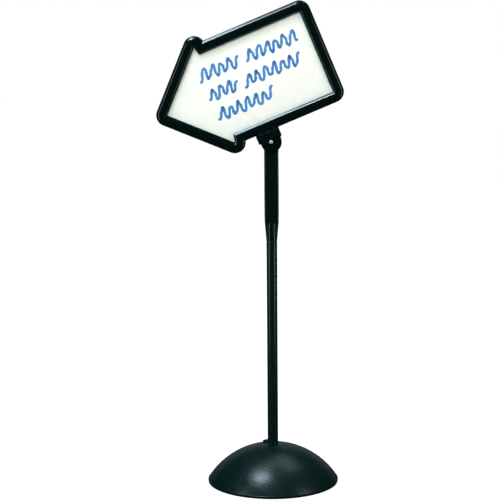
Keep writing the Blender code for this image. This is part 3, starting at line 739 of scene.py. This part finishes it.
def build_yoke(finish):
    """A tab under the rail that ends in two round ears, rounded on their edges."""
    top, corner = RAIL_BOTTOM - GAP, 0.0032
    start = math.degrees(math.asin(YOKE_TAB_BOTTOM / DISC_RADIUS))
    right = arc((YOKE_HALF_WIDTH - corner, YOKE_TAB_BOTTOM + corner), corner, -90, 0, 8)
    left = [(-x, z) for x, z in reversed(right)]
    outline = [(YOKE_HALF_WIDTH, top), (-YOKE_HALF_WIDTH, top)] + left
    outline += arc((0, 0), DISC_RADIUS, 180 - start, 360 + start, 110) + right
    obj = add_object("yoke", slab("yoke", outline, -YOKE_HALF_DEPTH, YOKE_HALF_DEPTH), SIGN)
    bevel(obj, 0.0009, 3, 60)
    disc_thickness, aside, beyond = 0.001, 0.06, 0.03
    slot_half = TONGUE_HALF + disc_thickness + 2 * GAP
    slot_top = top - 0.0075
    boolean(obj, box_mesh("slot", (-aside, -slot_half, -aside), (aside, slot_half, slot_top)))
    boolean(obj, rod("hole", BOLT_HOLE, -beyond, beyond, 48), matrix=SIGN @ LYING)
    for low, high in ((COUNTERBORE_SEAT, beyond), (-beyond, -COUNTERBORE_SEAT)):
        boolean(obj, rod("counterbore", COUNTERBORE_RADIUS, low, high, 72), matrix=SIGN @ LYING)
    cut_mount_holes(obj, 0, slot_top - 0.004, top + 0.004, 32)
    piece("yoke", take_mesh(obj), "sign", finish, SIGN, ["tilt_yoke"])


def build_pivot_bolt(finish):
    """A low domed head with a screwdriver slot, a shank and the end of its thread."""
    seat, height, radius, shank = COUNTERBORE_SEAT + GAP, 0.0045, 0.0066, 0.004
    end, tip = -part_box("pivot_bolt")[1].y, 0.0006
    profile = domed_head(radius, seat, 0.0010, height, 14)
    profile += [(radius, seat), (shank, seat), (shank, end + tip), (shank - tip, end), (0, end)]
    obj = add_object("bolt", lathe("bolt", profile, 96))
    slot_half, slot_bottom = 0.00085, seat + 0.0022
    slot = box_mesh("slot", (-0.02, -slot_half, slot_bottom), (0.02, slot_half, 0.03))
    boolean(obj, slot, matrix=Matrix.Rotation(math.radians(38), 4, "Z"))
    bevel(obj, 0.00025, 2, 50)
    mesh = take_mesh(obj)
    piece("pivot_screw", mesh, "sign", finish, SIGN @ LYING, ["pivot_bolt"])


def build_nut(finish):
    """A hexagon nut whose corners are chamfered by a cone."""
    low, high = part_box("pivot_nut")
    near, far = low.y, high.y
    apothem, cone = 0.0065, 0.0009
    to_corner = apothem / math.cos(math.pi / 6)
    face = 0.93 * to_corner  # radius of the chamfer's circle on the end faces
    rows = []
    for depth, reach in (
        (near, face),
        (near + cone, to_corner),
        (far - cone, to_corner),
        (far, face),
    ):
        row = []
        for angle in full_turn(96):
            sector = (angle + math.pi / 6) % (math.pi / 3) - math.pi / 6
            radius = min(apothem / math.cos(sector), reach)
            row.append((radius * math.cos(angle), radius * math.sin(angle), -depth))
        rows.append(row)
    obj = add_object("nut", skin("nut", rows, wrap_rows=False))
    boolean(obj, rod("hole", BOLT_HOLE, -THROUGH, THROUGH, 48))
    piece("nut", take_mesh(obj), "sign", finish, SIGN @ LYING, ["pivot_nut"], 25)


# ---------------------------------------------------------------- arrow frame


def rail_stations():
    """(corner of the opening, vector across the rail) round the arrow. A convex corner's vectors
    turn round it, so the frame's outside is round there; the notches are mitred."""
    tip = Vector((TIP, 0))
    barb = Vector((TIP + BARB_REACH, -BARB_REACH))
    notch = Vector((NOTCH, -SHAFT_HALF))
    heel = Vector((TAIL, -SHAFT_HALF))
    shaft_edge = -SHAFT_HALF - RAIL
    across = math.sqrt(RAIL**2 - (barb.y - shaft_edge) ** 2)
    outer_notch = Vector((barb.x + across, shaft_edge))
    notch_angle = math.degrees(math.atan2(shaft_edge - barb.y, across))

    def turn(corner, start, end, steps):
        return [(corner, Vector(way)) for way in arc((0, 0), RAIL, start, end, steps)]

    lower = turn(tip, 180, 225, 14) + turn(barb, 225, 360 + notch_angle, 44)
    lower.append((notch, outer_notch - notch))
    lower += turn(heel, 270, 360, 28)
    upper = [(Vector((p.x, -p.y)), Vector((v.x, -v.y))) for p, v in reversed(lower[1:])]
    return lower + upper


def rail_section():
    """Half a rail as (distance out from the opening, depth): a flat face between two chamfers,
    an upright wall round the board, and the hollow behind."""
    inner, outer, face, wall, upright = 0.0072, 0.0086, FRAME_HALF_DEPTH, 0.0025, 0.0088
    board, middle = SHEET_FACE + GAP, GAP / 2
    side = [(RAIL - 0.0004, middle), (RAIL, middle + 0.0005), (RAIL, face - outer)]
    front = [(RAIL - outer, face), (inner, face), (0.0, face - inner)]
    corners = side[1:] + front + [(0.0, board)]
    shown = soften(corners, [0.0016, 0.0050, 0.0046, 0.0003], 10)
    roof = face - wall
    inside = [(upright, board), (upright, middle)]
    inside += [(upright + wall, middle), (upright + wall, roof), (RAIL - wall - outer, roof)]
    inside += [(RAIL - wall, face - outer - 0.001), (RAIL - wall, middle)]
    return side[:1] + shown + inside


def frame_half(name, side):
    """The rail's section swept round the arrow. Side is -1 for the front half, 1 for the rear."""
    rows = []
    for corner, way in rail_stations():
        row = []
        for out, depth in rail_section():
            x, z = corner + way * (out / RAIL)
            row.append((x, side * depth, z + ARROW_AXIS))
        rows.append(row)
    return skin(name, rows)


def frame_screw_place(node):
    """A frame screw's place: on the sign's middle plane, with +Z straight out of the rear."""
    middle = SIGN.inverted() @ node_middle(node)
    return SIGN @ Matrix.Translation((middle.x, 0, middle.z)) @ REARWARD


def build_frame(finish):
    """Both halves: two moulding dimples in the front one, seven screw recesses in the rear one."""
    front = add_object("front", frame_half("front", -1), SIGN)
    for z in (-0.0055, 0.0055):
        dimple = Matrix.Translation((TAIL + RAIL / 2, -FRAME_HALF_DEPTH, ARROW_AXIS + z))
        boolean(front, rod("dimple", 0.0011, -0.0008, 0.01, 20), matrix=SIGN @ dimple @ LYING)
    rear = add_object("rear", frame_half("rear", 1), SIGN)
    for node in FRAME_SCREWS:
        boolean(rear, rod("recess", 0.0044, 0.0118, 0.03, 40), matrix=frame_screw_place(node))
    for half, name, node in (
        (front, "frame_front_shell", "frame_front"),
        (rear, "frame_rear_shell", "frame_rear"),
    ):
        cut_mount_holes(half, RAIL_BOTTOM, -0.005, 0.0055, 24)
        piece(name, take_mesh(half), "sign", finish, SIGN, [node])


def build_frame_screws(finish):
    """Pan heads with a cross recess, sunk in the rear half."""
    radius, height, shank = 0.0038, 0.0024, 0.0015
    slot_half_length, slot_half_width = 0.0022, 0.0004
    for i, node in enumerate(FRAME_SCREWS, 1):
        seat = (SIGN.inverted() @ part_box(node)[1]).y - height
        profile = domed_head(radius, seat, 0.0006, height, 8)
        profile += [(radius, seat), (shank, seat), (shank, -0.009), (0, -0.0105)]
        obj = add_object("screw", lathe("screw", profile, 48))
        low = (-slot_half_length, -slot_half_width, seat + 0.001)
        high = (slot_half_length, slot_half_width, 0.05)
        for angle in (45, 135):
            turn = Matrix.Rotation(math.radians(angle), 4, "Z")
            boolean(obj, box_mesh("slot", low, high), matrix=turn)
        mesh, place = take_mesh(obj), frame_screw_place(node)
        piece(f"case_screw_{i}", mesh, "sign", finish, place, [node])


# ---------------------------------------------------------------- marker scribble

STROKE_HALF = 0.0046
SCRIBBLE_STEP = 0.0155  # along the row, from one turn to the next
SCRIBBLE_LEAN = 0.25  # sideways, for each unit of height
INK_THICKNESS = 0.00012


def scribble_path(start, end, middle, seed):
    """A leaning hand-drawn wave of uneven height and spacing, with round turns."""
    count = max(2, round((end - start) / SCRIBBLE_STEP))
    step = (end - start) / count
    points = []
    for i in range(count):
        up = 0.019 + 0.008 * math.sin(2.3 * i + seed)
        down = -0.014 - 0.005 * math.sin(1.7 * i + 2 * seed)
        low, high = (down, up) if i % 2 == 0 else (up, down)
        spread = 1 + 0.15 * math.sin(3.1 * i + seed)
        for t in ramp(0, 1, 16)[:-1]:
            along = i + t**spread + 0.13 * math.sin(math.tau * t)
            height = low + (high - low) * (1 - math.cos(math.pi * t)) / 2
            points.append((start + step * along, height))
    points.append((end, points[-1][1]))
    return [Vector((x + SCRIBBLE_LEAN * z, z + middle)) for x, z in points]


def smooth_path(path):
    """Averages each point with its neighbours. The end points stay."""
    triples = zip(path, path[1:], path[2:])
    return [path[0]] + [(a + b * 2 + c) / 4 for a, b, c in triples] + [path[-1]]


def stroke_cap(row, way):
    """Rows that narrow to a round end, from the tip inward. The way points out of the stroke."""
    point, side, half = row
    rows = []
    for angle in ramp(0, math.pi / 2, 6)[:-1]:
        width = max(0.02, math.sin(angle))
        rows.append((point + way * half * math.cos(angle), side, half * width))
    return rows


def stroke_mesh(name, path):
    """A thin raised ribbon along the path, with round ends, lying on the board's front."""
    path = smooth_path(smooth_path(path))
    last = len(path) - 1
    rows = []
    for i, point in enumerate(path):
        along = (path[min(i + 1, last)] - path[max(i - 1, 0)]).normalized()
        half = STROKE_HALF * (1 + 0.10 * math.sin(0.9 * i))
        rows.append((point, Vector((-along.y, along.x)), half))
    first_cap = stroke_cap(rows[0], (path[0] - path[1]).normalized())
    last_cap = stroke_cap(rows[-1], (path[-1] - path[-2]).normalized())
    under, outer = -SHEET_FACE, -SHEET_FACE - INK_THICKNESS
    strip = []
    for point, side, half in first_cap + rows + last_cap[::-1]:
        a, b = point + side * half, point - side * half
        strip.append([(a.x, under, a.y), (a.x, outer, a.y), (b.x, outer, b.y), (b.x, under, b.y)])
    return skin(name, strip, wrap_rows=False)


def build_scribbles(ink):
    """Five meaningless scribbles in three rows along the arrow."""
    row, left = SHAFT_HALF * 0.5, TIP + 0.155
    # Each is (start and end along the arrow, height over its axis, seed of the wave)
    scribbles = [
        (left, left + 0.140, row, 0.3),
        (left + 0.172, left + 0.355, row, 1.9),
        (left + 0.004, left + 0.105, 0.0, 2.7),
        (left + 0.135, left + 0.335, 0.0, 4.1),
        (left + 0.006, left + 0.205, -row, 5.2),
    ]
    for i, (start, end, height, seed) in enumerate(scribbles, 1):
        mesh = stroke_mesh("stroke", scribble_path(start, end, ARROW_AXIS + height, seed))
        piece(f"marker_scribble_{i}", mesh, "sign", ink, SIGN, crease=60)


# ---------------------------------------------------------------- CAD nodes that stay


def paint(finish, *names):
    """Gives CAD nodes a material, and shades them like the pieces."""
    for name in names:
        mesh = frame["nodes"][name].data
        mesh.materials.clear()
        mesh.materials.append(finish)
        shade(mesh)


# ---------------------------------------------------------------- studio


def area_light(name, place, target, size, power, colour=(1, 1, 1), shine=True):
    """A soft box that faces its target. One without shine leaves no reflection."""
    data = bpy.data.lights.new(name, "AREA")
    data.shape = "RECTANGLE"
    data.size, data.size_y = size
    data.energy = power
    data.color = colour
    obj = add_object(name, data)
    obj.location = place
    obj.rotation_euler = (Vector(target) - Vector(place)).to_track_quat("-Z", "Y").to_euler()
    obj.visible_camera = False
    obj.visible_glossy = shine
    return obj


def light_only(light, *names):
    """Keeps a light to the pieces named."""
    lit = bpy.data.collections.new(f"lit_by_{light.name}")
    for name in names:
        lit.objects.link(bpy.data.objects[name])
    light.light_linking.receiver_collection = lit


def camera_switch(tree, seen, unseen):
    """A shader that is one thing to the camera and another to every other ray."""
    path = tree.nodes.new("ShaderNodeLightPath")
    mix = tree.nodes.new("ShaderNodeMixShader")
    tree.links.new(path.outputs["Is Camera Ray"], mix.inputs["Fac"])
    first, second = mix.inputs[1:]
    tree.links.new(unseen, first)
    tree.links.new(seen, second)
    return mix.outputs["Shader"]


def build_world():
    """White behind everything for the camera. For the object's reflections the room is dark,
    but for a pale patch straight behind the sign."""
    world = bpy.data.worlds.new("studio")
    world.use_nodes = True
    tree = world.node_tree
    tree.nodes.clear()
    white = tree.nodes.new("ShaderNodeBackground")
    white.inputs["Color"].default_value = (1, 1, 1, 1)
    way = tree.nodes.new("ShaderNodeTexCoord")
    axes = tree.nodes.new("ShaderNodeSeparateXYZ")
    tree.links.new(way.outputs["Generated"], axes.inputs["Vector"])
    wall = map_range(tree, axes.outputs["Y"], start=0.75, end=1.0, low=0.012, high=0.24)
    room = tree.nodes.new("ShaderNodeBackground")
    room.inputs["Color"].default_value = (0.75, 0.95, 1.0, 1)
    tree.links.new(wall, room.inputs["Strength"])
    out = tree.nodes.new("ShaderNodeOutputWorld")
    shader = camera_switch(tree, white.outputs["Background"], room.outputs["Background"])
    tree.links.new(shader, out.inputs["Surface"])
    bpy.context.scene.world = world


def build_floor():
    """Nearly white to the camera, with a faint shadow, and dim in the object's reflections."""
    reach, thickness = 14, 0.02
    mesh = box_mesh("floor", (-reach, -reach, -thickness), (reach, reach, 0))
    add_object("floor", mesh)
    material = bpy.data.materials.new("pale_floor")
    material.use_nodes = True
    tree = material.node_tree
    shader = tree.nodes["Principled BSDF"]
    shader.inputs["Base Color"].default_value = (0.42, 0.42, 0.415, 1)
    shader.inputs["Roughness"].default_value = 0.9
    shader.inputs["Emission Color"].default_value = (1, 1, 1, 1)
    place = tree.nodes.new("ShaderNodeTexCoord")
    length = tree.nodes.new("ShaderNodeVectorMath")
    length.operation = "LENGTH"
    tree.links.new(place.outputs["Object"], length.inputs[0])
    glow = map_range(tree, length.outputs["Value"], start=0.4, end=2.0, low=0.88, high=1.0)
    tree.links.new(glow, shader.inputs["Emission Strength"])
    dull = tree.nodes.new("ShaderNodeBsdfDiffuse")
    dull.inputs["Color"].default_value = (0.028, 0.034, 0.034, 1)
    surface = camera_switch(tree, shader.outputs["BSDF"], dull.outputs["BSDF"])
    tree.links.new(surface, tree.nodes["Material Output"].inputs["Surface"])
    mesh.materials.append(material)


def build_camera():
    """Stands 6.5 m in front, near 2 m up, and looks down at the middle of the sign."""
    distance, height, aside = 6.5, 1.963, -0.0755
    pitch, roll = math.radians(9.92), math.radians(-0.44)
    data = bpy.data.cameras.new("camera")
    data.sensor_width = 36
    data.lens = 137.45
    aim = Matrix.Rotation(math.pi / 2 - pitch, 4, "X") @ Matrix.Rotation(roll, 4, "Z")
    place = Matrix.Translation((aside, -distance, height)) @ aim
    bpy.context.scene.camera = add_object("camera", data, place)


def build_lights():
    """A cool soft box above on the left, one high in front for the frame alone, and a steep warm
    one that lets the top rail shade the board. Two weak ones stand overhead and behind on the
    right, and two tall strips on either side. The fills leave no shine on black."""
    foot, middle, board = (0, 0, 0.1), (0, 0, 1.1), (0, 0, 1.45)
    cool, strip, warm = (0.78, 0.98, 1.0), (0.85, 1.0, 1.0), (1, 0.975, 0.945)
    area_light("key", (-0.80, -0.56, 2.80), foot, (0.90, 0.72), 32, (0.64, 0.86, 1.0))
    ridge = area_light(
        "ridge_key", (-1.3, -2.5, 4.2), (0, 0, 1.4), (0.5, 1.0), 75, (0.92, 0.97, 1.0)
    )
    light_only(ridge, "frame_front_shell", "frame_rear_shell")
    wash = area_light(
        "board_wash", (-0.1, -0.75, 3.3), board, (0.9, 0.5), 15, (1, 0.60, 0.62), shine=False
    )
    light_only(wash, "board_front_sheet")
    area_light("haze", (-0.32, 0.22, 2.85), foot, (0.9, 0.7), 3.5, cool)
    area_light("rear", (0.70, 0.78, 2.75), foot, (1.5, 1.3), 7.0, cool)
    area_light("left_strip", (-2.2, -1.25, 1.1), middle, (0.40, 2.3), 13, strip)
    area_light("right_strip", (2.2, -1.25, 1.1), middle, (0.40, 2.3), 15, strip)
    area_light(
        "front_fill", (-0.4, -3.4, 3.4), (0, 0, 1.3), (2.8, 2.2), 137, warm, shine=False
    )
    area_light("rear_fill", (0.6, 3.6, 3.0), (0, 0, 1.2), (2.8, 2.2), 80, shine=False)
    rear_wash = area_light(
        "rear_wash", (0.3, 3.2, 3.6), board, (1.6, 1.2), 70, (1, 0.97, 0.93), shine=False
    )
    light_only(rear_wash, "board_rear_sheet")


# ---------------------------------------------------------------- build

BASE = textured_base()
RUBBER = rubber()
STEEL = brushed("zinc_steel", (0.5, 0.51, 0.52), 0.32)
BRIGHT = brushed("bright_zinc", (0.78, 0.80, 0.82), 0.2, (1, 1, 1))
PAINT = pole_paint()
NYLON = nylon("nylon", (0.42, 0.42, 0.40))
BUSH = nylon("bush_nylon", (0.012, 0.013, 0.013))
GLOSS = gloss_frame()

build_dome(BASE)
build_plug(RUBBER)
build_pan(BASE)
build_feet(RUBBER)
build_pole(PAINT, BUSH)
build_head(head_plastic())
build_yoke(yoke_plastic())
build_pivot_bolt(BRIGHT)
build_nut(BRIGHT)
build_frame(GLOSS)
build_frame_screws(STEEL)
build_scribbles(marker_ink())

paint(board_enamel(), "board_front_sheet", "board_rear_sheet")
paint(fibreboard(), "board_core")
paint(sand(), "sand_ballast")
paint(RUBBER, "centre_pad")
paint(PAINT, "pole_socket")
paint(BRIGHT, "pivot_washer")
paint(NYLON, "friction_disc_front", "friction_disc_rear")
paint(STEEL, *PAN_SCREWS, "tie_bolt", "tie_washer")
paint(STEEL, "swivel_spindle", "spindle_washer", "spindle_screw", "spindle_pin")
paint(STEEL, "mount_bar", "yoke_screw_1", "yoke_screw_2")

build_world()
build_floor()
build_lights()
build_camera()
bpy.context.scene.view_settings.view_transform = "Standard"
